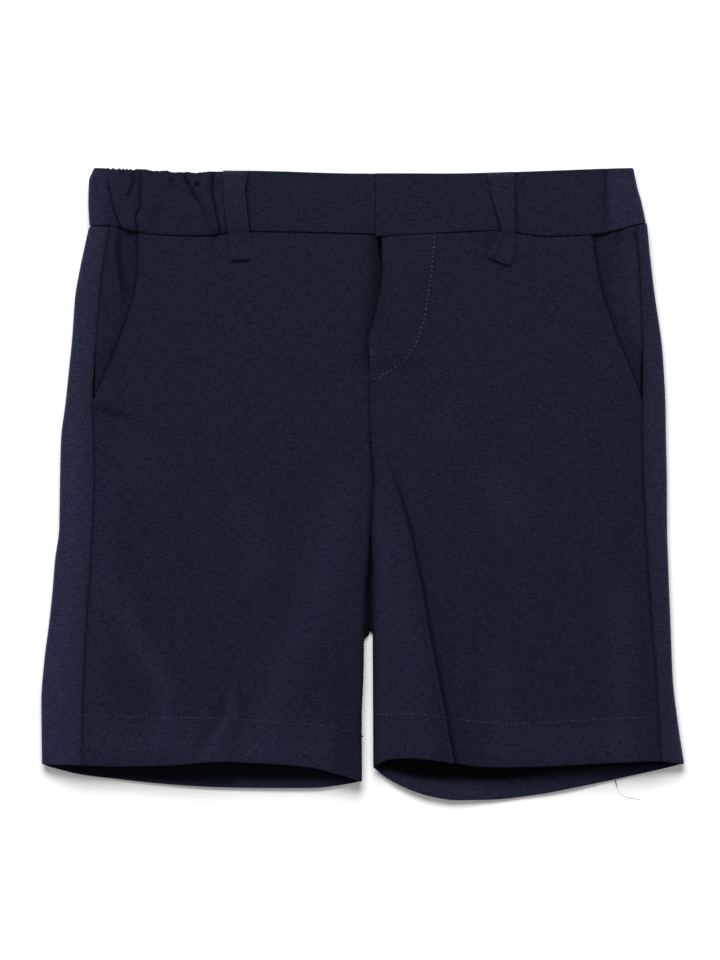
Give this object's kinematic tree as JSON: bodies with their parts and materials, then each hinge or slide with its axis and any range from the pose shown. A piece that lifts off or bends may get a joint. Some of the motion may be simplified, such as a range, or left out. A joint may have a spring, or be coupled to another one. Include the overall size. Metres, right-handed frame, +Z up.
{
  "type": "bermuda shorts",
  "caption": "Child's suit-style bermuda shorts in navy cloth, lying flat with the front up: waistband with belt loops and side gathers, fly, slant pockets and turned-up hems.",
  "frame": {"origin": "middle of the underside, on the surface that the shorts lie on", "axes": "+X towards the wearer's left leg, +Y towards the waist, +Z up, away from the surface"},
  "size_m": [0.3206, 0.3162, 0.017],
  "materials": {
    "suiting": "matte heathered plain weave",
    "band_cloth": "matte heathered plain weave"
  },
  "bodies": {
    "root": {"front_right": "suiting", "front_left": "suiting", "back_right": "suiting", "back_left": "suiting", "pocket_facing_right": "suiting", "pocket_facing_left": "suiting", "fly_underlap": "suiting", "waistband_front_right": "band_cloth", "waistband_front_left": "band_cloth", "waistband_back": "band_cloth", "belt_loop_front_right": "band_cloth", "belt_loop_front_left": "band_cloth", "belt_loop_back_right": "band_cloth", "belt_loop_back_centre": "band_cloth", "belt_loop_back_left": "band_cloth"}
  },
  "joints": []
}
